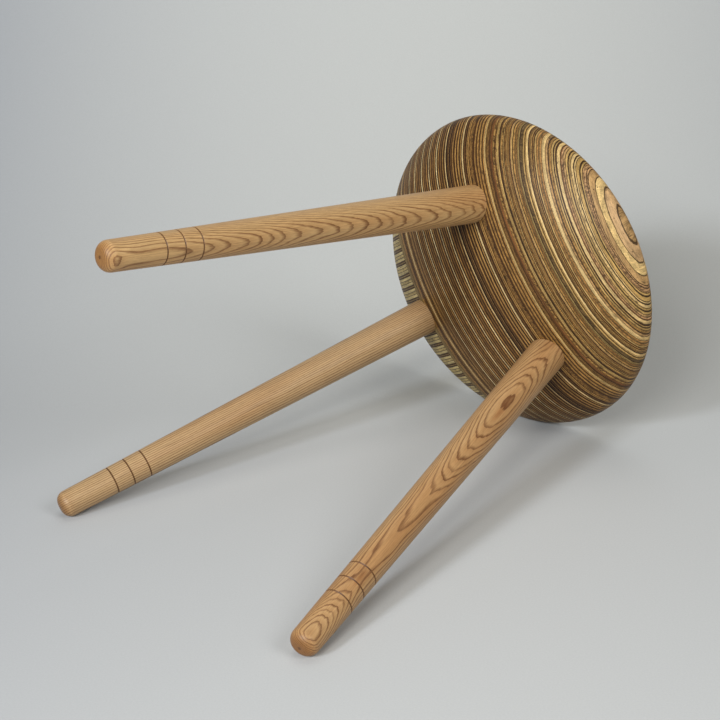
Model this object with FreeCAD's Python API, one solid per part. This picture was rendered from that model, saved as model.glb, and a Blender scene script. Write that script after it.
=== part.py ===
import FreeCAD, Part
import math
import os

# A fixed stool: a thick round seat turned from a glued block of plywood sheets,
# on three splayed, turned ash legs that are glued into blind mortises.
# Millimetres. +Z is up, the feet stand on z = 0, and the rear leg points along +Y.

# Seat block, turned round about its own vertical axis
seat_height = 432.0         # floor to the flat sitting face
seat_radius = 150.0         # at the widest ring
bowl_depth = 63.8           # widest ring down to the lowest point of the underside
rim_radius = 6.5            # rounded edge between the widest ring and the sitting face
shoulder_radius = 20.0      # underside curve beside the widest ring
flank_radius = 103.0        # underside curve between the shoulder and the broad bottom
flank_angle = 51.0          # where the flank meets the shoulder, degrees from straight down

# Sheets that the block is glued from
sheet_thickness = 12.0
glue_line = 0.1             # added to every sheet, so that the sheets touch
end_block_depth = 70.1      # rear part of the block, whose sheets stand across the others
least_strip = 2.0           # a thinner last strip stays part of the sheet beside it
loose_crumb = 10.0          # cubic mm; a smaller crumb that a drill cuts loose falls away

# Legs, evenly round the seat: one at the back and two in front
leg_names = ["leg_rear", "leg_front_left", "leg_front_right"]
mortise_inset = 64.6        # rim of the seat to where a leg's axis enters the underside
leg_splay = 13.75           # degrees from upright
foot_radius = 11.6          # where the foot's rounding ends
foot_rounding = 8.0
tenon_radius = 16.75        # the leg's own thickness where it enters the seat
tenon_depth = 40.0          # below the seat's surface, along the leg
tenon_lead = 2.5            # the tenon starts this far outside the seat
tenon_chamfer = 1.0
mortise_clearance = 0.05    # glue film round the tenon

# Decorative grooves, burnt round each leg near the foot
groove_count = 3
groove_start = 49.5         # tip of the foot to the first groove
groove_pitch = 16.0
groove_width = 1.4
groove_depth = 0.7

axis_z = FreeCAD.Vector(0, 0, 1)
whole_turn = 360.0
quarter_turn = whole_turn / 4


def at(x, z):
    """A point of a profile that is drawn in the XZ plane."""
    return FreeCAD.Vector(x, 0, z)


def unit(azimuth, tilt=0.0):
    """Unit vector that points along an azimuth and rises by tilt degrees."""
    a, t = math.radians(azimuth), math.radians(tilt)
    return FreeCAD.Vector(math.cos(a) * math.cos(t), math.sin(a) * math.cos(t), math.sin(t))


def bowl_arcs():
    """Three tangent arcs of the underside, from the seat's axis out to the widest ring.

    Each is its centre (r, z), its radius and its two angles from straight down.
    """
    ring_z = seat_height - rim_radius
    turn = math.radians(flank_angle)
    shoulder = (seat_radius - shoulder_radius, ring_z)
    flank = (shoulder[0] - (flank_radius - shoulder_radius) * math.sin(turn),
             ring_z + (flank_radius - shoulder_radius) * math.cos(turn))
    drop = ring_z - bowl_depth - flank[1]
    bottom_radius = (flank_radius ** 2 - flank[0] ** 2 - drop ** 2) / (2 * (flank_radius + drop))
    bottom = (0.0, ring_z - bowl_depth + bottom_radius)
    join = math.atan2(flank[0] - bottom[0], bottom[1] - flank[1])
    return [(bottom, bottom_radius, 0.0, join),
            (flank, flank_radius, join, turn),
            (shoulder, shoulder_radius, turn, math.pi / 2)]


def on_arc(centre, radius, angle):
    return at(centre[0] + radius * math.sin(angle), centre[1] - radius * math.cos(angle))


def underside_z(r):
    """Height of the underside at a distance r from the seat's axis."""
    for centre, radius, start, end in bowl_arcs():
        if r <= centre[0] + radius * math.sin(end):
            break
    return centre[1] - math.sqrt(max(radius ** 2 - (r - centre[0]) ** 2, 0.0))


def turned_block():
    """The whole seat as it leaves the lathe, before its sheets are told apart."""
    edges = []
    for centre, radius, start, end in bowl_arcs():
        ends = [on_arc(centre, radius, a) for a in (start, (start + end) / 2, end)]
        edges.append(Part.Arc(*ends).toShape())
    ring = at(seat_radius, seat_height - rim_radius)
    inner = at(seat_radius - rim_radius, seat_height - rim_radius)
    half = math.radians(45)
    middle = inner + at(rim_radius * math.cos(half), rim_radius * math.sin(half))
    edge_top = inner + at(0, rim_radius)
    edges.append(Part.Arc(ring, middle, edge_top).toShape())
    edges.append(Part.LineSegment(edge_top, at(0, seat_height)).toShape())
    lowest = at(0, seat_height - rim_radius - bowl_depth)
    edges.append(Part.LineSegment(at(0, seat_height), lowest).toShape())
    face = Part.Face(Part.Wire(edges))
    return face.revolve(FreeCAD.Vector(0, 0, 0), axis_z, whole_turn)


def tip_height():
    """Height of the middle of a foot's tip when its rounded edge is on the floor."""
    splay = math.radians(leg_splay)
    flat = foot_radius - foot_rounding
    return foot_rounding * (1 - math.cos(splay)) + flat * math.sin(splay)


def length_to_seat():
    """Distance along a leg's axis from the tip of its foot to the seat's underside."""
    rise = underside_z(seat_radius - mortise_inset) - tip_height()
    return rise / math.cos(math.radians(leg_splay))


def leg_axis(azimuth):
    """Start of a leg's axis, at the tip of its foot, and its direction towards the seat."""
    foot_circle = seat_radius - mortise_inset + length_to_seat() * math.sin(math.radians(leg_splay))
    tip = unit(azimuth) * foot_circle + axis_z * tip_height()
    return tip, unit(azimuth + whole_turn / 2, quarter_turn - leg_splay)


def leg_azimuths():
    """Azimuth of each leg by name; the first points along +Y."""
    step = whole_turn / len(leg_names)
    return {name: quarter_turn + i * step for i, name in enumerate(leg_names)}


def placed(shape, azimuth):
    """Set a shape that was turned about Z, tip at the origin, on a leg's axis."""
    tip, direction = leg_axis(azimuth)
    turn = FreeCAD.Rotation(axis_z, direction)
    result = shape.copy()
    result.Placement = FreeCAD.Placement(tip, turn)
    return result


def turned_leg():
    """One leg standing on the origin: rounded foot, grooves, taper and tenon."""
    to_seat = length_to_seat()
    tenon_start = to_seat - tenon_lead
    tenon_end = to_seat + tenon_depth
    taper = (tenon_radius - foot_radius) / (tenon_start - foot_rounding)

    def side(z):
        return foot_radius + taper * (z - foot_rounding)

    flat = foot_radius - foot_rounding
    half = math.radians(45)
    centre = at(flat, foot_rounding)
    middle = centre + at(foot_rounding * math.sin(half), -foot_rounding * math.cos(half))
    edges = [Part.LineSegment(at(0, 0), at(flat, 0)).toShape(),
             Part.Arc(at(flat, 0), middle, at(foot_radius, foot_rounding)).toShape()]
    points = [at(foot_radius, foot_rounding)]
    for i in range(groove_count):
        z = groove_start + i * groove_pitch
        low, high = z - groove_width / 2, z + groove_width / 2
        points += [at(side(low), low), at(side(z) - groove_depth, z), at(side(high), high)]
    points += [at(tenon_radius, tenon_start),
               at(tenon_radius, tenon_end - tenon_chamfer),
               at(tenon_radius - tenon_chamfer, tenon_end),
               at(0, tenon_end),
               at(0, 0)]
    for start, end in zip(points, points[1:]):
        edges.append(Part.LineSegment(start, end).toShape())
    face = Part.Face(Part.Wire(edges))
    return face.revolve(FreeCAD.Vector(0, 0, 0), axis_z, whole_turn)


def mortise():
    """The blind hole for a tenon, drilled square to the leg, with its mouth left open."""
    to_seat = length_to_seat()
    radius = tenon_radius + mortise_clearance
    return Part.makeCylinder(radius, radius + tenon_depth, at(0, to_seat - radius), axis_z)


def strips(start, end, pitch):
    """Cut a span into sheets from its start; a last sliver stays with its neighbour."""
    cuts = [start]
    while end - cuts[-1] > pitch + least_strip:
        cuts.append(cuts[-1] + pitch)
    cuts.append(end)
    return list(zip(cuts, cuts[1:]))


def slab(x_range, y_range):
    """A box over the full height of the seat. A side that lies on the rim stands clear of it."""
    low = FreeCAD.Vector(x_range[0], y_range[0], 0)
    high = FreeCAD.Vector(x_range[1], y_range[1], seat_height + rim_radius)
    if low.y <= -seat_radius:
        low.y -= rim_radius
    return Part.makeBox(high.x - low.x, high.y - low.y, high.z, low)


def seat_sheets():
    """Every sheet of the seat: the main stack, then the end block that crosses it."""
    block = turned_block().cut([placed(mortise(), a) for a in leg_azimuths().values()])
    pitch = sheet_thickness + glue_line
    joint_y = seat_radius - end_block_depth
    past_rim = seat_radius + rim_radius
    pieces = {}
    for i, (near, far) in enumerate(strips(-joint_y, seat_radius, pitch), start=1):
        pieces["seat_board_%02d" % i] = block.common(slab((-past_rim, past_rim), (-far, -near)))
    half_chord = math.sqrt(seat_radius ** 2 - joint_y ** 2)
    right = strips(pitch / 2, half_chord, pitch)
    left = [(-far, -near) for near, far in reversed(right)]
    for i, span in enumerate(left + [(-pitch / 2, pitch / 2)] + right, start=1):
        pieces["end_sheet_%02d" % i] = block.common(slab(span, (joint_y, past_rim)))
    return pieces


def foot_reach(azimuth, direction):
    """How far a foot reaches along a direction that points outwards or down."""
    tip, up_leg = leg_axis(azimuth)
    along = up_leg.dot(direction)
    flat = (foot_radius - foot_rounding) * math.sqrt(1 - along ** 2)
    return (tip + up_leg * foot_rounding).dot(direction) + flat + foot_rounding


def to_origin():
    """Move from the seat's axis to the middle of the bounding box's footprint."""
    back, front = FreeCAD.Vector(0, 1, 0), FreeCAD.Vector(0, -1, 0)
    rear = max([seat_radius] + [foot_reach(a, back) for a in leg_azimuths().values()])
    fore = max([seat_radius] + [foot_reach(a, front) for a in leg_azimuths().values()])
    return FreeCAD.Vector(0, (fore - rear) / 2, 0)


def one_solid(name, shape):
    """The piece itself, without crumbs that the mortises cut loose from it."""
    solids = [solid for solid in shape.Solids if solid.Volume > loose_crumb]
    if len(solids) != 1 or not solids[0].isValid():
        raise ValueError("%s is not one sound solid" % name)
    return solids[0]


def main():
    os.makedirs("parts", exist_ok=True)
    pieces = seat_sheets()
    leg = turned_leg()
    for name, azimuth in leg_azimuths().items():
        pieces[name] = placed(leg, azimuth)
    move = to_origin()
    for name, shape in pieces.items():
        solid = one_solid(name, shape)
        solid.translate(move)
        solid.exportStep("parts/%s.step" % name)
    print("%d pieces, seat axis at y = %.2f mm" % (len(pieces), move.y))
    tip = leg_axis(0.0)[0]
    print("leg %.1f mm to the seat, tip of the foot %.1f mm from the seat's axis"
          % (length_to_seat(), tip.x))


main()
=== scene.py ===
# A stool: its seat is turned from glued plywood sheets, and its three ash legs have burnt grooves.
# Metres, unless a name or note says otherwise. +Z is up, and the rear leg points along +Y.
import math

import bpy
from mathutils import Matrix, Vector


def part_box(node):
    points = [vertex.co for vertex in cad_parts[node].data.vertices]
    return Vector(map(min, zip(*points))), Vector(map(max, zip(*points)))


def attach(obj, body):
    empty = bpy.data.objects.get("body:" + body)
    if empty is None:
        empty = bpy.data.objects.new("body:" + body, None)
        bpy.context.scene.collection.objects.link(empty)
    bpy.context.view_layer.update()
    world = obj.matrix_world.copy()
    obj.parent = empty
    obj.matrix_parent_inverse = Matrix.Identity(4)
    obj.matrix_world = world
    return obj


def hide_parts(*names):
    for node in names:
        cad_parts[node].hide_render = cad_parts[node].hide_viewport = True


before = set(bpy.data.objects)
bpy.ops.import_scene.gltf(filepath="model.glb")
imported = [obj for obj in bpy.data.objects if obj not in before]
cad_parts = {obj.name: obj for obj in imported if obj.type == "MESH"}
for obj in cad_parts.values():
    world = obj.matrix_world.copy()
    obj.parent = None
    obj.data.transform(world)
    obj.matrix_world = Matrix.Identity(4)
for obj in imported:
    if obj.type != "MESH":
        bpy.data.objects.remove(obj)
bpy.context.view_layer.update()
mm = 0.001
tiny = 0.001 * mm
smoothAngle = 30.0          # degrees; sharper edges stay sharp
upward = Vector((0, 0, 1))
print("frame loaded,", len(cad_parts), "nodes")


# Editing by hand

def deselectAll():
    bpy.ops.object.select_all(action="DESELECT")


def pick(piece):
    deselectAll()
    piece.select_set(True)
    bpy.context.view_layer.objects.active = piece


def startEditing(piece):
    pick(piece)
    bpy.ops.object.mode_set(mode="EDIT")
    bpy.ops.mesh.select_mode(type="VERT")
    bpy.ops.mesh.select_all(action="SELECT")


def stopEditing():
    bpy.ops.object.mode_set(mode="OBJECT")


def applyPlace(piece):
    pick(piece)
    bpy.ops.object.transform_apply(location=True, rotation=True, scale=True)


# Leaves only the vertices at one height selected on the piece that is being edited
def selectRing(piece, height):
    bpy.ops.mesh.select_all(action="DESELECT")
    bpy.ops.object.mode_set(mode="OBJECT")
    for corner in piece.data.vertices:
        corner.select = abs(corner.co.z - height) < tiny
    bpy.ops.object.mode_set(mode="EDIT")


# The name says what the piece is, and the node is what it replaces
def finishPiece(piece, name, node, material):
    piece.name = name
    piece.data.name = name
    piece.data.materials.clear()
    piece.data.materials.append(material)
    pick(piece)
    bpy.ops.object.shade_smooth_by_angle(angle=math.radians(smoothAngle))
    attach(piece, "root")
    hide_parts(node)


# Shader nodes

# A colour as it is seen, 0 to 255, as the shader takes it
def tint(red, green, blue):
    def linear(part):
        part /= 255
        return part / 12.92 if part <= 0.04045 else ((part + 0.055) / 1.055) ** 2.4
    return linear(red), linear(green), linear(blue), 1.0


def addNode(tree, kind, inputs=None, **settings):
    made = tree.nodes.new("ShaderNode" + kind)
    for key, value in settings.items():
        setattr(made, key, value)
    for key, value in (inputs or {}).items():
        if isinstance(value, bpy.types.NodeSocket):
            tree.links.new(value, made.inputs[key])
        else:
            made.inputs[key].default_value = value
    return made


def calc(tree, operation, a, b=0.0):
    return addNode(tree, "Math", {0: a, 1: b}, operation=operation).outputs[0]


def between(tree, factor, a, b):
    return addNode(tree, "Mix", {0: factor, 2: a, 3: b}, data_type="FLOAT").outputs[0]


def colourMix(tree, factor, a, b, mode="MIX"):
    return addNode(tree, "Mix", {0: factor, 6: a, 7: b}, data_type="RGBA", blend_type=mode).outputs[2]


def spread(tree, value, low, high, toLow=0.0, toHigh=1.0, style="LINEAR"):
    inputs = {0: value, 1: low, 2: high, 3: toLow, 4: toHigh}
    return addNode(tree, "MapRange", inputs, interpolation_type=style).outputs[0]


def vector(tree, x, y, z):
    return addNode(tree, "CombineXYZ", {0: x, 1: y, 2: z}).outputs[0]


def parts(tree, value):
    return addNode(tree, "SeparateXYZ", {0: value}).outputs[:]


def distance(tree, x, y, z=0.0):
    inputs = {0: vector(tree, x, y, z)}
    return addNode(tree, "VectorMath", inputs, operation="LENGTH").outputs["Value"]


# Noise over a place, each of whose three parts is multiplied by its own scale
def noise(tree, place, scales, detail=2.0, roughness=0.5):
    stretched = [calc(tree, "MULTIPLY", part, scale) for part, scale in zip(place, scales)]
    inputs = {"Vector": vector(tree, *stretched), "Scale": 1.0, "Detail": detail, "Roughness": roughness}
    return addNode(tree, "TexNoise", inputs).outputs[0]


# The same about zero, so much either way
def wobble(tree, amount, place, scales, detail=2.0, roughness=0.5):
    about = calc(tree, "SUBTRACT", noise(tree, place, scales, detail, roughness), 0.5)
    return calc(tree, "MULTIPLY", about, amount * 2)


# A ramp of flat steps, from (place 0 to 1, colour) pairs
def steps(tree, where, stops):
    made = addNode(tree, "ValToRGB", {0: where})
    ramp = made.color_ramp
    ramp.interpolation = "CONSTANT"
    while len(ramp.elements) < len(stops):
        ramp.elements.new(1.0)
    for element, (place, colour) in zip(ramp.elements, stops):
        element.position = place
        element.color = colour
    return made


def newMaterial(name):
    material = bpy.data.materials.new(name)
    material.use_nodes = True
    tree = material.node_tree
    tree.nodes.clear()
    return material, tree


# Plywood: every sheet is a stack of veneers, and their fibres run along it or across it, up the sheet

veneer = {
    "tones": {
        "ivory": tint(228, 208, 160),
        "cream": tint(210, 182, 128),
        "straw": tint(178, 148, 93),
        "gold": tint(182, 150, 92),
        "rose": tint(196, 162, 120),
        "tan": tint(180, 146, 100),
        "clay": tint(178, 142, 102),
        "buff": tint(220, 194, 142),
        "honey": tint(168, 131, 76),
        "amber": tint(166, 126, 74),
        "oak": tint(130, 97, 54),
        "olive": tint(148, 126, 78),
        "umber": tint(74, 48, 24),
        "russet": tint(124, 80, 44),
        "walnut": tint(46, 28, 14),
        "slate": tint(108, 88, 56),
        "grey": tint(184, 168, 120),
    },
    "glue": tint(44, 26, 12),
    "crack": tint(46, 28, 12),
    "knot": tint(38, 22, 10),
    "endGrain": tint(236, 230, 220),
    "varnish": tint(250, 244, 234),
    "fineGlue": 0.30,           # mm, width of the dark line between veneers
    "broadGlue": 0.42,          # mm, the same in the sheets near the front
    "broadFrom": 15,            # first of those sheets
    "wander": 0.50,             # mm, how far a veneer strays from flat
    "tremble": 0.22,            # mm, the same over a short length
    "settle": 1.0,              # mm from the sheet's faces where its veneers come straight
    # noise: scales per mm across the fibres, through the sheet and along the fibres, detail, roughness
    "streaks": ((1.3, 1.3, 0.035), 4.0, 0.65),
    "blotches": ((0.06, 0.16, 0.014), 3.0, 0.6),
    "lines": ((0.16, 0.60, 0.016), 3.0, 0.75),
    "pores": ((3.4, 3.4, 0.3), 2.0),
    "pits": ((0.42, 0.9, 0.30), 1.0),
    "tears": ((0.46, 0.2, 0.03), 2.0, 0.6),
    "knots": ((0.10, 0.45, 0.03), 2.0, 0.6),
    "cracks": ((0.15, 0.02, 1.0), 2.0, 0.6),    # these scales: across, along, and which veneer
    "wanders": ((0.03, 0.05, 3.7),),            # along the sheet, up it, and which sheet
    "trembles": ((0.35, 0.35, 0.8),),           # along the sheet, up it and through it
    # where each starts to show in its noise, and where it shows fully
    "poreSpan": (0.55, 0.66),
    "pitSpan": (0.715, 0.745),
    "tearSpan": (0.38, 0.62),
    "knotSpan": (0.63, 0.74),
    "crackSpan": (0.006, 0.016),    # from the middle of its noise: how far it shows fully, and at all
    "crackHatch": (0.5, 0.85),  # cracks show in veneers that are torn this strongly
    "tearLean": 0.9,            # mm sideways for each mm through the sheet
    "tearMiddle": 0.66,         # tears change no lightness here
    # how far each changes the lightness
    "streakGain": 0.9,
    "lineGain": 2.1,
    "blotchGain": 0.9,
    "hatchGain": 0.75,
    "ownGain": 0.08,
    # how much each hides the tone
    "poreShare": 0.45,
    "crackShare": 0.8,
    "knotShare": 0.8,
    "glueShare": 0.85,
    "endPower": 1.5,            # how late the end grain's own tint sets in as the surface turns
    # surface
    "rough": 0.38,
    "roughStreaks": 0.14,
    "roughEnds": 0.1,
    "streakHeight": 0.5,
    "poreDepth": 0.25,
    "crackDepth": 0.8,
    "knotDepth": 0.8,
    "bumpStrength": 0.35,
    "bumpHeight": 0.15,         # mm
    "shine": 0.22,
    # keeps sheets and their veneers apart in the noise
    "seedReach": 830.0,
    "sheetStep": 0.37,
    "plyStep": 0.61,
    "leanStep": 7.0,
    "leanSwitch": (0.49, 0.51),
}


# Colour, roughness and height of a veneer. Place is in mm: along, through and up the sheet
def makeVeneerFigure():
    tree = bpy.data.node_groups.new("veneerFigure", "ShaderNodeTree")
    for name, kind in (("Place", "Vector"), ("Tone", "Color"), ("Cross", "Float"), ("Seed", "Float"),
                       ("Hatch", "Float"), ("EndGrain", "Float"), ("Glue", "Float")):
        tree.interface.new_socket(name=name, in_out="INPUT", socket_type="NodeSocket" + kind)
    for name, kind in (("Color", "Color"), ("Roughness", "Float"), ("Height", "Float")):
        tree.interface.new_socket(name=name, in_out="OUTPUT", socket_type="NodeSocket" + kind)
    given = tree.nodes.new("NodeGroupInput").outputs
    result = tree.nodes.new("NodeGroupOutput").inputs

    along, through, up = parts(tree, given["Place"])
    shift = calc(tree, "MULTIPLY", given["Seed"], veneer["seedReach"])
    side = calc(tree, "ADD", between(tree, given["Cross"], up, along), shift)
    fibre = calc(tree, "ADD", between(tree, given["Cross"], along, up), shift)
    grain = (side, through, fibre)

    streaks = noise(tree, grain, *veneer["streaks"])
    blotches = noise(tree, grain, *veneer["blotches"])
    lines = noise(tree, grain, *veneer["lines"])
    pores = spread(tree, noise(tree, grain, *veneer["pores"]), *veneer["poreSpan"])
    pits = spread(tree, noise(tree, grain, *veneer["pits"]), *veneer["pitSpan"])
    knots = spread(tree, noise(tree, grain, *veneer["knots"]), *veneer["knotSpan"])
    knots = calc(tree, "MAXIMUM", knots, pits)

    # the peeling knife leaves slanted tears, which lean one way or the other from veneer to veneer
    draw = calc(tree, "FRACT", calc(tree, "MULTIPLY", given["Seed"], veneer["leanStep"]))
    lean = spread(tree, draw, *veneer["leanSwitch"], -veneer["tearLean"], veneer["tearLean"])
    slanted = calc(tree, "ADD", side, calc(tree, "MULTIPLY", through, lean))
    tears = noise(tree, (slanted, through, fibre), *veneer["tears"])
    tears = spread(tree, tears, *veneer["tearSpan"], style="SMOOTHSTEP")
    tears = calc(tree, "SUBTRACT", tears, veneer["tearMiddle"])
    crackGap = calc(tree, "SUBTRACT", noise(tree, (slanted, fibre, shift), *veneer["cracks"]), 0.5)
    cracks = spread(tree, calc(tree, "ABSOLUTE", crackGap), *veneer["crackSpan"], 1.0, 0.0)
    cracks = calc(tree, "MULTIPLY", cracks, spread(tree, given["Hatch"], *veneer["crackHatch"]))

    lightness = 1.0
    for value, gain in ((streaks, "streakGain"), (blotches, "blotchGain"), (lines, "lineGain")):
        change = calc(tree, "MULTIPLY", calc(tree, "SUBTRACT", value, 0.5), veneer[gain])
        lightness = calc(tree, "ADD", lightness, change)
    hatch = calc(tree, "MULTIPLY", calc(tree, "MULTIPLY", tears, given["Hatch"]), veneer["hatchGain"])
    own = spread(tree, given["Seed"], 0.0, 1.0, -veneer["ownGain"], veneer["ownGain"])
    lightness = calc(tree, "ADD", calc(tree, "ADD", lightness, hatch), own)
    colour = addNode(tree, "HueSaturation", {"Value": lightness, "Color": given["Tone"]}).outputs[0]
    colour = colourMix(tree, 1.0, colour, veneer["varnish"], "MULTIPLY")
    ends = calc(tree, "POWER", given["EndGrain"], veneer["endPower"])
    colour = colourMix(tree, ends, colour, veneer["endGrain"], "MULTIPLY")
    for value, share, tone in ((pores, "poreShare", "crack"), (cracks, "crackShare", "crack"),
                               (knots, "knotShare", "knot"), (given["Glue"], "glueShare", "glue")):
        colour = colourMix(tree, calc(tree, "MULTIPLY", value, veneer[share]), colour, veneer[tone])
    tree.links.new(colour, result["Color"])

    rough = calc(tree, "ADD", veneer["rough"], calc(tree, "MULTIPLY", streaks, veneer["roughStreaks"]))
    rough = calc(tree, "ADD", rough, calc(tree, "MULTIPLY", ends, veneer["roughEnds"]))
    tree.links.new(rough, result["Roughness"])
    height = calc(tree, "MULTIPLY", streaks, veneer["streakHeight"])
    for value, depth in ((pores, "poreDepth"), (cracks, "crackDepth"), (knots, "knotDepth")):
        height = calc(tree, "SUBTRACT", height, calc(tree, "MULTIPLY", value, veneer[depth]))
    tree.links.new(height, result["Height"])
    return tree


veneerFigure = makeVeneerFigure()


# Plywood for one sheet, which says where its first face is, which way it stands, its glue and its plies
def makeSheetMaterial(name, sheet):
    material, tree = newMaterial(name)
    coords = addNode(tree, "TexCoord")
    x, y, z = parts(tree, coords.outputs["Object"])
    nx, ny, nz = parts(tree, coords.outputs["Normal"])
    if sheet["stands"] == "along x":
        along, through, normalAlong = x, calc(tree, "SUBTRACT", sheet["start"], y), nx
    else:
        along, through, normalAlong = y, calc(tree, "SUBTRACT", x, sheet["start"]), ny
    along, through, up = [calc(tree, "DIVIDE", part, mm) for part in (along, through, z)]

    plies = sheet["plies"]
    total = sum(ply[0] for ply in plies)
    ripple = wobble(tree, veneer["wander"], (along, up, sheet["seed"]), *veneer["wanders"])
    tremble = wobble(tree, veneer["tremble"], (along, up, through), *veneer["trembles"])
    ripple = calc(tree, "ADD", ripple, tremble)
    nearFace = spread(tree, through, 0.0, veneer["settle"])
    farFace = spread(tree, through, total - veneer["settle"], total, 1.0, 0.0)
    free = calc(tree, "MULTIPLY", nearFace, farFace)
    bent = calc(tree, "ADD", through, calc(tree, "MULTIPLY", ripple, free))

    half = sheet["glue"] / 2
    tones, facts, place = [], [], 0.0
    for i, (thickness, tone, hatch) in enumerate(plies):
        crosses = 1.0 if hatch else 0.0
        own = (sheet["seed"] * veneer["sheetStep"] + i * veneer["plyStep"]) % 1.0
        start, end = place / total, (place + thickness) / total
        tones.append((start, veneer["tones"][tone]))
        facts.append((start + (half / total if i else 0.0), (crosses, own, 0.0, hatch)))
        if i < len(plies) - 1 or not sheet["last"]:
            facts.append((end - half / total, (crosses, own, 1.0, hatch)))
        place += thickness
    where = calc(tree, "DIVIDE", bent, total)
    known = steps(tree, where, facts)
    crossing, seed, glue = addNode(tree, "SeparateColor", {0: known.outputs["Color"]}).outputs[:]
    cut = between(tree, crossing, calc(tree, "ABSOLUTE", normalAlong), calc(tree, "ABSOLUTE", nz))
    look = addNode(tree, "Group")
    look.node_tree = veneerFigure
    feeds = {"Place": vector(tree, along, through, up), "Cross": crossing, "Seed": seed, "Glue": glue,
             "Tone": steps(tree, where, tones).outputs["Color"], "Hatch": known.outputs["Alpha"],
             "EndGrain": cut}
    for key, value in feeds.items():
        tree.links.new(value, look.inputs[key])
    bump = addNode(tree, "Bump", {"Height": look.outputs["Height"], "Strength": veneer["bumpStrength"],
                                  "Distance": veneer["bumpHeight"] * mm})
    shader = addNode(tree, "BsdfPrincipled", {"Base Color": look.outputs["Color"],
                                              "Roughness": look.outputs["Roughness"],
                                              "Normal": bump.outputs[0],
                                              "Specular IOR Level": veneer["shine"]})
    addNode(tree, "OutputMaterial", {0: shader.outputs[0]})
    return material


# The seat: one block turned round, drilled for the legs, then sawn into the sheets that it is glued from

seatShape = {
    "radius": 0.150,
    "bowlDepth": 0.0638,        # widest ring down to the lowest point
    "rimRadius": 0.0065,
    "shoulderRadius": 0.020,
    "flankRadius": 0.103,
    "flankAngle": 51.0,         # degrees from straight down
    "edgeBand": 0.0015,         # keeps the flat top's shading flat
    "sides": 288,
    "arcSteps": {"bottom": 28, "flank": 20, "shoulder": 14, "rim": 12},
    "mortiseClearance": 0.00005,
    "mortiseSides": 96,
    "sheetPitch": 0.0121,       # one sheet with its glue
}
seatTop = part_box("seat_board_01")[1].z
seatAxis = Vector((0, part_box("seat_board_19")[0].y + seatShape["radius"], 0))
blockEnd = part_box("seat_board_01")[1].y


# The seat as it comes off the lathe: arcs from its lowest point to its top, spun round its axis
def turnBlock():
    s = seatShape
    ringZ = seatTop - s["rimRadius"]
    turn = math.radians(s["flankAngle"])
    shoulderX = s["radius"] - s["shoulderRadius"]
    reach = s["flankRadius"] - s["shoulderRadius"]
    flankX, flankZ = shoulderX - reach * math.sin(turn), ringZ + reach * math.cos(turn)
    drop = ringZ - s["bowlDepth"] - flankZ
    bottomRadius = (s["flankRadius"] ** 2 - flankX ** 2 - drop ** 2) / (2 * (s["flankRadius"] + drop))
    bottomZ = ringZ - s["bowlDepth"] + bottomRadius
    join = math.degrees(math.atan2(flankX, bottomZ - flankZ))
    arcs = [("bottom", 0.0, bottomZ, join),
            ("flank", flankX, flankZ, s["flankAngle"] - join),
            ("shoulder", shoulderX, ringZ, 90.0 - s["flankAngle"]),
            ("rim", s["radius"] - s["rimRadius"], ringZ, 90.0)]

    lowest = seatAxis + upward * (ringZ - s["bowlDepth"])
    deselectAll()
    bpy.ops.mesh.primitive_plane_add(size=mm, location=lowest)
    block = bpy.context.active_object
    applyPlace(block)
    startEditing(block)
    bpy.ops.mesh.merge(type="CENTER")
    for name, x, z, degrees in arcs:
        bpy.ops.mesh.spin(steps=s["arcSteps"][name], angle=math.radians(degrees),
                          center=seatAxis + Vector((x, 0, z)), axis=(0, 1, 0))
    bpy.ops.mesh.extrude_region_move(TRANSFORM_OT_translate={"value": (-s["edgeBand"], 0, 0)})
    bpy.ops.mesh.select_all(action="SELECT")
    bpy.ops.mesh.spin(steps=s["sides"], angle=2 * math.pi, center=seatAxis, axis=upward)
    bpy.ops.mesh.select_all(action="SELECT")
    bpy.ops.mesh.remove_doubles(threshold=2 * tiny)
    bpy.ops.mesh.select_all(action="DESELECT")
    bpy.ops.mesh.select_non_manifold()
    bpy.ops.mesh.edge_face_add()
    bpy.ops.mesh.select_all(action="SELECT")
    bpy.ops.mesh.normals_make_consistent(inside=False)
    stopEditing()
    return block


# A copy of the block without what lies beyond each cut; a cut is a point and its outward side
def sawPiece(block, cuts):
    pick(block)
    bpy.ops.object.duplicate()
    piece = bpy.context.active_object
    startEditing(piece)
    for point, outward in cuts:
        bpy.ops.mesh.select_all(action="SELECT")
        bpy.ops.mesh.bisect(plane_co=point, plane_no=outward, use_fill=True, clear_outer=True,
                            threshold=tiny)
    stopEditing()
    return piece


# Legs, each turned from one length of ash

legShape = {
    "splay": 13.75,             # degrees from upright
    "footCircle": 0.1770,       # seat's axis to the tip of a foot
    "footRadius": 0.0116,
    "footRounding": 0.008,
    "tenonRadius": 0.01675,
    "toSeat": 0.3853,           # tip of the foot to the seat's underside
    "tenonLead": 0.0025,
    "tenonDepth": 0.040,
    "tenonChamfer": 0.001,
    "grooveStart": 0.0495,
    "groovePitch": 0.016,
    "grooveCount": 3,
    "grooveWidth": 0.0014,
    "grooveDepth": 0.0007,
    "sides": 112,
    "roundingSteps": 12,
}
# azimuths in degrees
legNodes = {"leg_rear": 90.0, "leg_front_left": 210.0, "leg_front_right": 330.0}


# The middle of a foot's tip, and the leg's direction up into the seat
def legFrame(azimuth):
    a, splay = math.radians(azimuth), math.radians(legShape["splay"])
    outward = Vector((math.cos(a), math.sin(a), 0))
    flat = legShape["footRadius"] - legShape["footRounding"]
    height = legShape["footRounding"] * (1 - math.cos(splay)) + flat * math.sin(splay)
    tip = seatAxis + outward * legShape["footCircle"] + upward * height
    return tip, (upward * math.cos(splay) - outward * math.sin(splay)).normalized()


def grooveHeights():
    s = legShape
    return [s["grooveStart"] + i * s["groovePitch"] for i in range(s["grooveCount"])]


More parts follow.
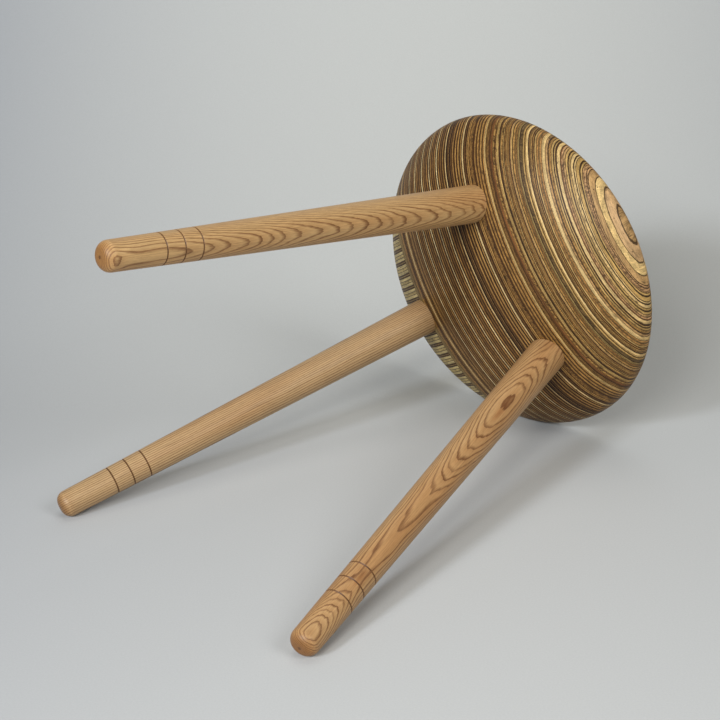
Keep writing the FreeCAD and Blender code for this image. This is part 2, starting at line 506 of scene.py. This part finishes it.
# (height, radius) up the leg: rounded foot, straight taper with grooves, then the tenon
def legProfile():
    s = legShape
    bend, tenonStart = s["footRounding"], s["toSeat"] - s["tenonLead"]
    flat = s["footRadius"] - bend
    taper = (s["tenonRadius"] - s["footRadius"]) / (tenonStart - bend)
    profile = [(0.0, flat)]
    for i in range(1, s["roundingSteps"] + 1):
        angle = math.radians(90 * i / s["roundingSteps"])
        profile.append((bend * (1 - math.cos(angle)), flat + bend * math.sin(angle)))
    for z in grooveHeights():
        for place, depth in ((-0.5, 0.0), (0.0, s["grooveDepth"]), (0.5, 0.0)):
            height = z + place * s["grooveWidth"]
            profile.append((height, s["footRadius"] + taper * (height - bend) - depth))
    end = s["toSeat"] + s["tenonDepth"]
    profile += [(tenonStart, s["tenonRadius"]), (end - s["tenonChamfer"], s["tenonRadius"]),
                (end, s["tenonRadius"] - s["tenonChamfer"])]
    return profile


# A ring is drawn up the profile step by step, capped, and stood on the leg's axis
def turnLeg(azimuth):
    profile = legProfile()
    deselectAll()
    bpy.ops.mesh.primitive_circle_add(vertices=legShape["sides"], radius=profile[0][1],
                                      fill_type="NOTHING")
    leg = bpy.context.active_object
    startEditing(leg)
    for (low, before), (high, after) in zip(profile, profile[1:]):
        bpy.ops.mesh.extrude_region_move(TRANSFORM_OT_translate={"value": (0, 0, high - low)})
        bpy.ops.transform.resize(value=(after / before, after / before, 1), center_override=(0, 0, high))
    bpy.ops.mesh.edge_face_add()
    selectRing(leg, 0.0)
    bpy.ops.mesh.edge_face_add()
    bpy.ops.mesh.select_all(action="SELECT")
    bpy.ops.mesh.normals_make_consistent(inside=False)
    stopEditing()
    tip, direction = legFrame(azimuth)
    turn = direction.to_track_quat("Z", "Y").to_matrix().to_4x4()
    leg.matrix_world = Matrix.Translation(tip) @ turn
    applyPlace(leg)
    return leg


# The blind hole for a tenon, drilled square to the leg
def drillMortise(block, azimuth):
    s = seatShape
    tip, direction = legFrame(azimuth)
    radius = legShape["tenonRadius"] + s["mortiseClearance"]
    length = legShape["tenonDepth"] + radius
    middle = tip + direction * (legShape["toSeat"] + legShape["tenonDepth"] - length / 2)
    deselectAll()
    turn = direction.to_track_quat("Z", "Y").to_euler()
    bpy.ops.mesh.primitive_cylinder_add(vertices=s["mortiseSides"], radius=radius, depth=length,
                                        location=middle, rotation=turn)
    drill = bpy.context.active_object
    pick(block)
    hole = block.modifiers.new("mortise", "BOOLEAN")
    hole.object = drill
    hole.operation = "DIFFERENCE"
    hole.solver = "EXACT"
    bpy.ops.object.modifier_apply(modifier=hole.name)
    bpy.data.objects.remove(drill)


# The plies of a sheet: thickness in mm, tone, and how strongly the cut ends of its fibres are torn, or 0
# where they run along the sheet. The plies of every sheet add up to one pitch.

brown = {
    "dark": ("umber", 0.6),
    "light": [("honey", 0.2), ("oak", 0.2), ("honey", 0.2)],
    "lead": ("umber", 0.4),
    "pale": ("ivory", 0),
}


# A brown sheet with one pale ply, behind a lead ply on its first face
def brownBoard(lead, pale):
    inner = [ply for light in brown["light"] for ply in (brown["dark"], light)]
    rest = (seatShape["sheetPitch"] / mm - lead - pale) / len(inner)
    return [(lead, *brown["lead"]), (pale, *brown["pale"])] + [(rest, *ply) for ply in inner]


# Main sheets, from the end block to the front rim
boardPlies = [
    [(0.8, "umber", 0.4), (1.4, "olive", 0), (0.4, "umber", 0), (1.4, "olive", 0), (0.4, "umber", 0),
     (1.6, "olive", 0.4), (1.0, "umber", 0), (1.4, "honey", 0), (0.5, "umber", 0), (1.4, "honey", 0.3),
     (1.8, "umber", 0)],
    [(1.2, "umber", 0.4), (0.5, "honey", 0), (1.4, "umber", 0.4), (0.8, "oak", 0), (1.6, "honey", 0),
     (0.4, "umber", 0), (1.4, "buff", 0), (0.4, "umber", 0), (1.4, "honey", 0), (1.2, "umber", 0.4),
     (0.5, "honey", 0), (1.3, "umber", 0.4)],
    [(0.9, "umber", 0), (1.3, "honey", 0.3), (0.4, "umber", 0), (1.2, "honey", 0), (1.4, "umber", 0),
     (1.2, "oak", 0.4), (0.4, "walnut", 0), (1.2, "honey", 0), (1.2, "umber", 0), (1.2, "oak", 0.4),
     (0.4, "walnut", 0), (1.3, "oak", 0.3)],
    brownBoard(1.6, 1.2),
    brownBoard(1.2, 1.1),
    brownBoard(1.7, 1.2),
    brownBoard(2.0, 1.1),
    brownBoard(1.5, 1.2),
    [(1.2, "walnut", 0.4), (0.8, "oak", 0), (1.2, "buff", 0), (1.9, "walnut", 0.5), (0.6, "oak", 0),
     (1.2, "umber", 0), (0.6, "honey", 0), (1.8, "walnut", 0.6), (0.6, "oak", 0), (1.2, "umber", 0),
     (1.0, "oak", 0.4)],
    [(1.0, "honey", 0), (2.0, "umber", 0.5), (1.4, "honey", 0), (1.5, "umber", 0.5), (1.9, "honey", 0),
     (1.4, "walnut", 0.3), (1.2, "honey", 0), (0.9, "umber", 0.3), (0.8, "buff", 0)],
    [(0.9, "buff", 0), (1.3, "umber", 0.5), (0.6, "oak", 0), (1.8, "umber", 1.0), (1.0, "honey", 0),
     (0.4, "umber", 0), (1.3, "honey", 0), (0.5, "umber", 0), (1.7, "oak", 0.9), (0.6, "honey", 0),
     (1.4, "oak", 0.9), (0.6, "umber", 0)],
    [(1.2, "umber", 0), (1.6, "honey", 0.3), (1.3, "umber", 0), (1.8, "honey", 0.5), (1.1, "umber", 0),
     (2.0, "honey", 0.4), (1.1, "umber", 0), (1.3, "honey", 0.3), (0.7, "buff", 0)],
    [(1.2, "straw", 0), (0.4, "umber", 0), (1.1, "oak", 0.5), (0.5, "honey", 0), (1.0, "oak", 0.5),
     (1.2, "umber", 0), (0.6, "oak", 0), (1.4, "russet", 0), (0.5, "honey", 0), (1.6, "honey", 1.0),
     (0.4, "umber", 0), (1.0, "oak", 0.8), (1.2, "straw", 0)],
    [(1.1, "straw", 0), (0.4, "walnut", 0), (1.2, "umber", 0.6), (0.6, "straw", 0), (1.3, "honey", 0.7),
     (0.4, "umber", 0), (0.7, "straw", 0), (0.4, "umber", 0), (1.5, "oak", 0.6), (0.7, "honey", 0),
     (0.5, "straw", 0), (1.0, "oak", 0), (0.5, "honey", 0), (0.8, "umber", 0), (1.0, "tan", 0.2)],
    [(0.8, "straw", 0), (0.4, "umber", 0), (1.5, "honey", 0.6), (0.5, "straw", 0), (1.5, "oak", 0.5),
     (0.6, "straw", 0), (1.2, "olive", 0), (0.4, "umber", 0), (1.8, "slate", 0.7), (0.5, "straw", 0),
     (1.3, "gold", 0), (0.5, "oak", 0), (1.1, "straw", 0.2)],
    [(1.6, "cream", 0), (0.5, "umber", 0), (0.9, "oak", 0.3), (0.6, "straw", 0), (1.0, "honey", 0.5),
     (0.4, "umber", 0), (0.8, "honey", 0), (0.5, "umber", 0), (1.3, "straw", 0), (1.6, "amber", 0.6),
     (0.6, "straw", 0), (1.5, "amber", 0.6), (0.8, "cream", 0)],
    [(1.9, "cream", 0), (1.6, "tan", 0.6), (0.5, "umber", 0), (1.7, "honey", 0.6), (1.4, "straw", 0),
     (0.4, "umber", 0), (0.9, "straw", 0), (0.8, "umber", 0.3), (2.2, "cream", 0), (0.7, "russet", 0.5)],
    [(1.0, "clay", 0.7), (1.2, "tan", 0.5), (1.4, "straw", 0), (0.4, "umber", 0), (1.2, "straw", 0),
     (1.6, "cream", 0.3), (0.35, "walnut", 0), (0.85, "cream", 0), (1.9, "gold", 0), (0.35, "walnut", 0),
     (1.05, "straw", 0), (0.8, "clay", 0.7)],
    [(1.0, "clay", 0.7), (0.9, "clay", 0.75), (2.9, "tan", 0), (3.1, "cream", 0.2), (3.1, "rose", 0),
     (1.1, "tan", 0.72)],
]
endPlies = [(0.45, "olive", 0), (1.3, "umber", 0.4), (2.7, "grey", 0), (0.35, "umber", 0),
            (2.5, "grey", 0.3), (0.35, "umber", 0), (2.7, "grey", 0), (1.3, "umber", 0.4),
            (0.45, "olive", 0)]
endSeed = 40    # the cross sheets' seeds follow this one


def buildSeat():
    block = turnBlock()
    for azimuth in legNodes.values():
        drillMortise(block, azimuth)
    print("seat block turned and drilled,", len(block.data.polygons), "faces")
    pitch = seatShape["sheetPitch"]
    for number, plies in enumerate(boardPlies, start=1):
        start = blockEnd - pitch * (number - 1)
        cuts = [((0, start, 0), (0, 1, 0))]
        if number < len(boardPlies):
            cuts.append(((0, start - pitch, 0), (0, -1, 0)))
        glue = veneer["broadGlue"] if number >= veneer["broadFrom"] else veneer["fineGlue"]
        sheet = {"stands": "along x", "start": start, "plies": plies, "glue": glue, "seed": number,
                 "last": number == len(boardPlies)}
        material = makeSheetMaterial("boardPly%02d" % number, sheet)
        node = "seat_board_%02d" % number
        finishPiece(sawPiece(block, cuts), "board%02d" % number, node, material)
    print("main sheets sawn")
    endNodes = sorted(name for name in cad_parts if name.startswith("end_sheet_"))
    middle = (len(endNodes) + 1) / 2
    for number, node in enumerate(endNodes, start=1):
        start = (number - middle - 0.5) * pitch
        cuts = [((0, blockEnd, 0), (0, -1, 0))]
        if number > 1:
            cuts.append(((start, 0, 0), (-1, 0, 0)))
        if number < len(endNodes):
            cuts.append(((start + pitch, 0, 0), (1, 0, 0)))
        sheet = {"stands": "along y", "start": start, "plies": endPlies, "glue": veneer["fineGlue"],
                 "seed": endSeed + number, "last": number == len(endNodes)}
        material = makeSheetMaterial("endPly%02d" % number, sheet)
        finishPiece(sawPiece(block, cuts), "endSheet%02d" % number, node, material)
    print("end block sawn,", len(endNodes), "sheets")
    bpy.data.objects.remove(block)


# Ash: growth rings cut by the turned leg, so that arches and lines come from the wood's own layers

ash = {
    "light": tint(212, 176, 126),
    "late": tint(184, 142, 96),
    "ring": tint(116, 70, 38),
    "pore": tint(112, 74, 36),
    "blush": tint(188, 138, 86),
    "eye": tint(162, 104, 54),
    "burnt": tint(80, 46, 20),
    "endGrain": tint(208, 192, 170),
    # noise: scales per mm both ways across the fibres and along them, detail, roughness
    "swirls": ((0.035, 0.035, 0.011), 2.0, 0.45),
    "trembles": ((0.35, 0.35, 0.03),),
    "streaks": ((1.6, 1.6, 0.03), 4.0, 0.6),
    "blushes": ((0.05, 0.05, 0.006), 1.0),
    "pores": ((3.4, 3.4, 0.22), 2.0, 0.6),
    "tremble": 0.45,            # mm
    # in shares of a ring: where its line is darkest, where that has faded, and where late wood starts
    "lineDark": 0.07,
    "lineEnd": 0.48,
    "lateStart": 0.5,
    "lineShare": 0.95,
    "lineStrength": (0.35, 0.65, 0.55, 1.0),    # from year to year
    "yearStep": 0.77,
    "lateShare": 0.5,
    # each Span: where it starts to show in its noise, and where it shows fully
    "blushSpan": (0.45, 0.7),
    "blushShare": 0.55,
    "footBlush": (2.0, 14.0, 0.35, 0.0),        # mm up the leg, and its share there
    "eyeSpan": (0.3, 1.3),      # shares of its reach: fully dark, and gone
    "eyeSide": (0.0, 5.0, 0.0, 0.5),            # mm towards the flat side, and its share there
    "poreSpan": (0.50, 0.60),
    "poreOutside": 0.25,        # pores show this much between the dark lines
    "poreShare": 0.6,
    "streakSpan": (0.3, 0.7),
    "streakLight": (0.78, 1.14),
    "streakRough": (0.42, 0.52),
    "endSpan": (0.35, 0.95),
    "burnCore": 0.2,            # mm each side of a groove's middle
    "burnReach": 0.95,
    "burnShare": (0.35, 0.6, 0.95, 0.65),       # by the streaks
    "markRadius": 1.7,          # mm, where the lathe's centre held the foot
    "markCore": 0.6,            # share of that radius
    "markHeight": 2.0,
    "markShare": 0.8,
    "streakHeight": 0.4,
    "poreDepth": 0.6,
    "bumpStrength": 0.3,
    "bumpHeight": 0.12,         # mm
    "shine": 0.36,
    "seedAcross": 31,
    "seedAlong": 57,
}
# facing is the side where the rings lie flat, in degrees round the leg from outwards. tilt is how fast
# the rings run out of the leg, swirl how far they stray, and a wave is a hump in them: height, reach
# and rise. An eye is a darker patch on that side: height, reach and half its width. These, pith and
# spacing are in mm.
legGrain = {
    "leg_rear": {
        "facing": 265.0, "tilt": 0.014, "swirl": 1.6, "spacing": 1.8, "pith": 120.0, "seed": 3.0,
        "stain": tint(226, 226, 228), "waves": [], "eyes": []},
    "leg_front_left": {
        "facing": 94.0, "tilt": 0.105, "swirl": 1.9, "spacing": 1.45, "pith": 60.0, "seed": 11.0,
        "stain": tint(244, 240, 232), "waves": [(10.0, 30.0, -3.0)], "eyes": []},
    "leg_front_right": {
        "facing": 283.0, "tilt": 0.0, "swirl": 3.0, "spacing": 1.5, "pith": 45.0, "seed": 27.0,
        "stain": tint(226, 216, 206), "waves": [(285.0, 78.0, 10.4), (6.0, 34.0, 10.0)],
        "eyes": [(286.0, 18.0, 2.4), (70.0, 10.0, 2.2)]},
}


# Ash for one leg, in mm on the leg's own axes: x to the side where the rings lie flat, z up the leg
def makeAsh(name, azimuth, grain):
    tip, direction = legFrame(azimuth)
    a = math.radians(azimuth)
    outward = Vector((math.cos(a), math.sin(a), 0))
    outward = (outward - direction * outward.dot(direction)).normalized()
    sideways = direction.cross(outward)
    facing = math.radians(grain["facing"])
    flatSide = outward * math.cos(facing) + sideways * math.sin(facing)
    axes = Matrix((flatSide, direction.cross(flatSide), direction)).transposed()

    material, tree = newMaterial(name)
    coords = addNode(tree, "TexCoord")
    place = addNode(tree, "Mapping", {"Vector": coords.outputs["Object"], "Location": tip,
                                      "Rotation": axes.to_euler(), "Scale": (mm, mm, mm)},
                    vector_type="TEXTURE").outputs[0]
    normal = addNode(tree, "VectorMath", {0: coords.outputs["Normal"], 1: direction},
                     operation="DOT_PRODUCT")
    ends = spread(tree, calc(tree, "ABSOLUTE", normal.outputs["Value"]), *ash["endSpan"])
    x, y, z = parts(tree, place)
    seeded = (calc(tree, "ADD", x, grain["seed"] * ash["seedAcross"]), y,
              calc(tree, "ADD", z, grain["seed"] * ash["seedAlong"]))

    depth = distance(tree, calc(tree, "ADD", x, grain["pith"]), y)
    swirl = wobble(tree, grain["swirl"], seeded, *ash["swirls"])
    tremble = wobble(tree, ash["tremble"], seeded, *ash["trembles"])
    depth = calc(tree, "ADD", depth, calc(tree, "ADD", swirl, tremble))
    depth = calc(tree, "SUBTRACT", depth, calc(tree, "MULTIPLY", z, grain["tilt"]))
    for height, reach, rise in grain["waves"]:
        off = calc(tree, "DIVIDE", calc(tree, "SUBTRACT", z, height), reach)
        hump = calc(tree, "EXPONENT", calc(tree, "MULTIPLY", calc(tree, "MULTIPLY", off, off), -1.0))
        depth = calc(tree, "ADD", depth, calc(tree, "MULTIPLY", hump, rise))
    ringPlace = calc(tree, "DIVIDE", depth, grain["spacing"])
    phase = calc(tree, "FRACT", ringPlace)
    year = calc(tree, "FLOOR", ringPlace)
    strength = noise(tree, (year, 0.0, grain["seed"]), (ash["yearStep"], 1.0, 1.0))
    strength = spread(tree, strength, *ash["lineStrength"])
    fading = spread(tree, phase, ash["lineDark"], ash["lineEnd"], 1.0, 0.0, "SMOOTHSTEP")
    early = calc(tree, "MULTIPLY", fading, spread(tree, phase, 0.0, ash["lineDark"]))
    late = spread(tree, phase, ash["lateStart"], 1.0)

    streaks = noise(tree, seeded, *ash["streaks"])
    pores = spread(tree, noise(tree, seeded, *ash["pores"]), *ash["poreSpan"])
    colour = colourMix(tree, calc(tree, "MULTIPLY", late, ash["lateShare"]), ash["light"], ash["late"])
    blush = spread(tree, noise(tree, seeded, *ash["blushes"]), *ash["blushSpan"])
    blush = calc(tree, "MULTIPLY", blush, ash["blushShare"])
    blush = calc(tree, "MAXIMUM", blush, spread(tree, z, *ash["footBlush"]))
    colour = colourMix(tree, blush, colour, ash["blush"])
    for height, reach, width in grain["eyes"]:
        off = distance(tree, calc(tree, "DIVIDE", calc(tree, "SUBTRACT", z, height), reach),
                       calc(tree, "DIVIDE", y, width))
        patch = spread(tree, off, *ash["eyeSpan"], 1.0, 0.0, "SMOOTHSTEP")
        patch = calc(tree, "MULTIPLY", patch, spread(tree, x, *ash["eyeSide"]))
        colour = colourMix(tree, patch, colour, ash["eye"])
    lines = calc(tree, "MULTIPLY", calc(tree, "MULTIPLY", early, strength), ash["lineShare"])
    colour = colourMix(tree, lines, colour, ash["ring"])
    poreShade = calc(tree, "MULTIPLY", pores, spread(tree, early, 0.0, 1.0, ash["poreOutside"], 1.0))
    poreShade = calc(tree, "MULTIPLY", poreShade, ash["poreShare"])
    colour = colourMix(tree, poreShade, colour, ash["pore"])
    lightness = spread(tree, streaks, *ash["streakSpan"], *ash["streakLight"])
    colour = addNode(tree, "HueSaturation", {"Value": lightness, "Color": colour}).outputs[0]
    # each leg's colour is multiplied by its own darkening, most on the front right leg
    colour = colourMix(tree, 1.0, colour, grain["stain"], "MULTIPLY")
    colour = colourMix(tree, ends, colour, ash["endGrain"], "MULTIPLY")

    burn = None
    for height in grooveHeights():
        gap = calc(tree, "ABSOLUTE", calc(tree, "SUBTRACT", z, height / mm))
        band = spread(tree, gap, ash["burnCore"], ash["burnReach"], 1.0, 0.0, "SMOOTHSTEP")
        burn = band if burn is None else calc(tree, "MAXIMUM", burn, band)
    burn = calc(tree, "MULTIPLY", burn, spread(tree, streaks, *ash["burnShare"]))
    core = ash["markRadius"] * ash["markCore"]
    mark = spread(tree, distance(tree, x, y), core, ash["markRadius"], 1.0, 0.0)
    mark = calc(tree, "MULTIPLY", mark, calc(tree, "LESS_THAN", z, ash["markHeight"]))
    mark = calc(tree, "MULTIPLY", mark, ash["markShare"])
    colour = colourMix(tree, calc(tree, "MAXIMUM", burn, mark), colour, ash["burnt"])

    low = calc(tree, "MULTIPLY", calc(tree, "MULTIPLY", pores, early), ash["poreDepth"])
    height = calc(tree, "SUBTRACT", calc(tree, "MULTIPLY", streaks, ash["streakHeight"]), low)
    bump = addNode(tree, "Bump", {"Height": height, "Strength": ash["bumpStrength"],
                                  "Distance": ash["bumpHeight"] * mm})
    rough = spread(tree, streaks, *ash["streakSpan"], *ash["streakRough"])
    shader = addNode(tree, "BsdfPrincipled", {"Base Color": colour, "Roughness": rough,
                                              "Normal": bump.outputs[0],
                                              "Specular IOR Level": ash["shine"]})
    addNode(tree, "OutputMaterial", {0: shader.outputs[0]})
    return material


def buildLegs():
    for node, azimuth in legNodes.items():
        words = node.split("_")
        name = words[0] + "".join(word.capitalize() for word in words[1:])
        material = makeAsh(name + "Ash", azimuth, legGrain[node])
        finishPiece(turnLeg(azimuth), name, node, material)
    print("legs turned")


buildSeat()
buildLegs()


# Studio: the stool lies on two feet and its rim, on a pale sweep of paper under soft lights

studio = {
    "restAzimuth": 30.0,        # the side towards the paper, between the rear and front right legs
    "restTilt": 6.98,           # degrees that the paper leans from the seat's axis
    "middle": (0.0882, 0.0857, 0.2476),
    "halfWidth": 3.0,
    "front": 2.5,
    "flatBack": 0.12,           # where the paper starts to curve up
    "curveRadius": 0.9,
    "curveSteps": 24,
    "wallHeight": 2.5,
    "paper": tint(194, 195, 195),
    "paperBack": tint(194, 195, 193),
    "gradeStart": -0.25,        # from the front of the paper to its back
    "gradeEnd": 0.45,
    "edge": tint(214, 216, 223),    # painted shade: multiplies the paper more and more towards its sides
    "edgeMiddle": 0.13,
    "edgeReach": 0.5,
    "edgeMost": 1.6,
    "edgeShare": 0.62,
    "tooth": ((700.0, 700.0, 700.0), 2.0),      # the paper's own fine noise, per metre
    "toothSpan": (0.3, 0.7, 0.975, 1.025),
    "fadeStart": 1.6,
    "fadeEnd": 2.4,
    "backdrop": tint(188, 189, 189),
    "ambient": 0.14,
    "ambientTint": (1.0, 0.93, 0.76, 1.0),
}
camera = {
    "place": (-0.0598, -0.9803, -0.4664),
    "turn": (146.072, -45.466, -50.302),        # degrees
    "right": (0.448, -0.540, 0.713),
    "lens": 70.6,
    "sensor": 36.0,
}
# right, up and away are along the paper, as the camera sees it; power is in watts
lamps = [
    {"name": "leftWindow", "right": -2.00, "up": 1.82, "away": -2.37, "size": 0.5, "power": 60.0,
     "tint": (0.86, 0.92, 1.0)},
    {"name": "frontWindow", "right": -0.75, "up": 1.50, "away": -2.25, "size": 0.8, "power": 38.0,
     "tint": (1.0, 1.0, 0.97)},
    {"name": "rightWindow", "right": 1.75, "up": 1.90, "away": -1.75, "size": 1.1, "power": 26.0,
     "tint": (0.97, 0.99, 1.0)},
    {"name": "ceiling", "right": 0.00, "up": 2.00, "away": 0.10, "size": 1.3, "power": 7.2,
     "tint": (1.0, 0.99, 0.95)},
]


# The paper's right, away and up directions, with the camera's own right as the guide
def paperAxes():
    a, tilt = math.radians(studio["restAzimuth"]), math.radians(studio["restTilt"])
    side = Vector((math.cos(a), math.sin(a), 0))
    up = upward * math.sin(tilt) - side * math.cos(tilt)
    guide = Vector(camera["right"])
    right = (guide - up * guide.dot(up)).normalized()
    return right, up.cross(right), up


def makeStage():
    right, away, up = paperAxes()
    deselectAll()
    bpy.ops.mesh.primitive_plane_add(size=1.0)
    paper = bpy.context.active_object
    paper.name = "paperSweep"
    startEditing(paper)
    depth = studio["front"] + studio["flatBack"]
    bpy.ops.transform.resize(value=(2 * studio["halfWidth"], depth, 1), center_override=(0, 0, 0))
    bpy.ops.transform.translate(value=(0, studio["flatBack"] - depth / 2, 0))
    stopEditing()
    back = studio["flatBack"]
    for corner in paper.data.vertices:
        corner.select = abs(corner.co.y - back) < mm
    for edge in paper.data.edges:
        edge.select = all(paper.data.vertices[i].select for i in edge.vertices)
    for face in paper.data.polygons:
        face.select = False
    bpy.ops.object.mode_set(mode="EDIT")
    bpy.ops.mesh.spin(steps=studio["curveSteps"], angle=math.pi / 2,
                      center=(0, back, studio["curveRadius"]), axis=(-1, 0, 0))
    bpy.ops.mesh.extrude_region_move(TRANSFORM_OT_translate={"value": (0, 0, studio["wallHeight"])})
    stopEditing()
    axes = Matrix((right, away, up)).transposed().to_4x4()
    paper.matrix_world = Matrix.Translation(studio["middle"]) @ axes
    bpy.ops.object.shade_smooth()

    material, tree = newMaterial("studioPaper")
    facing = addNode(tree, "NewGeometry").outputs["Backfacing"]
    x, y, z = parts(tree, addNode(tree, "TexCoord").outputs["Object"])
    reach = distance(tree, x, y, z)
    fade = spread(tree, reach, studio["fadeStart"], studio["fadeEnd"], style="SMOOTHSTEP")
    unseen = calc(tree, "MAXIMUM", facing, fade)
    grade = spread(tree, y, studio["gradeStart"], studio["gradeEnd"], style="SMOOTHSTEP")
    colour = colourMix(tree, grade, studio["paper"], studio["paperBack"])
    # painted shade: the paper is darkened and made bluer towards its sides
    paintedSideShade = calc(tree, "DIVIDE", calc(tree, "SUBTRACT", x, studio["edgeMiddle"]), studio["edgeReach"])
    paintedSideShade = calc(tree, "MINIMUM", calc(tree, "MULTIPLY", paintedSideShade, paintedSideShade), studio["edgeMost"])
    paintedSideShade = calc(tree, "MULTIPLY", paintedSideShade, studio["edgeShare"])
    colour = colourMix(tree, paintedSideShade, colour, studio["edge"], "MULTIPLY")
    tooth = spread(tree, noise(tree, (x, y, z), *studio["tooth"]), *studio["toothSpan"])
    colour = addNode(tree, "HueSaturation", {"Value": tooth, "Color": colour}).outputs[0]
    matte = addNode(tree, "BsdfDiffuse", {0: colour})
    clear = addNode(tree, "BsdfTransparent")
    mixed = addNode(tree, "MixShader", {0: unseen, 1: matte.outputs[0], 2: clear.outputs[0]})
    addNode(tree, "OutputMaterial", {0: mixed.outputs[0]})
    paper.data.materials.append(material)


def makeLights():
    right, away, up = paperAxes()
    origin = Vector(studio["middle"])
    for lamp in lamps:
        place = origin + right * lamp["right"] + up * lamp["up"] + away * lamp["away"]
        deselectAll()
        bpy.ops.object.light_add(type="AREA", location=place)
        light = bpy.context.active_object
        light.name = lamp["name"]
        light.data.size = lamp["size"]
        light.data.energy = lamp["power"]
        light.data.color = lamp["tint"]
        light.rotation_mode = "QUATERNION"
        light.rotation_quaternion = (origin - place).to_track_quat("-Z", "Y")
    world = bpy.data.worlds.new("studio")
    world.use_nodes = True
    bpy.context.scene.world = world
    tree = world.node_tree
    tree.nodes.clear()
    seen = addNode(tree, "LightPath").outputs["Is Camera Ray"]
    backdrop = addNode(tree, "Background", {0: studio["backdrop"], 1: 1.0})
    ambient = addNode(tree, "Background", {0: studio["ambientTint"], 1: studio["ambient"]})
    mixed = addNode(tree, "MixShader", {0: seen, 1: ambient.outputs[0], 2: backdrop.outputs[0]})
    addNode(tree, "OutputWorld", {0: mixed.outputs[0]})


def makeCamera():
    deselectAll()
    turn = [math.radians(angle) for angle in camera["turn"]]
    bpy.ops.object.camera_add(location=camera["place"], rotation=turn)
    made = bpy.context.active_object
    made.data.lens = camera["lens"]
    made.data.sensor_width = camera["sensor"]
    bpy.context.scene.camera = made


makeStage()
makeLights()
makeCamera()
bpy.context.scene.view_settings.view_transform = "Standard"
print("studio set")
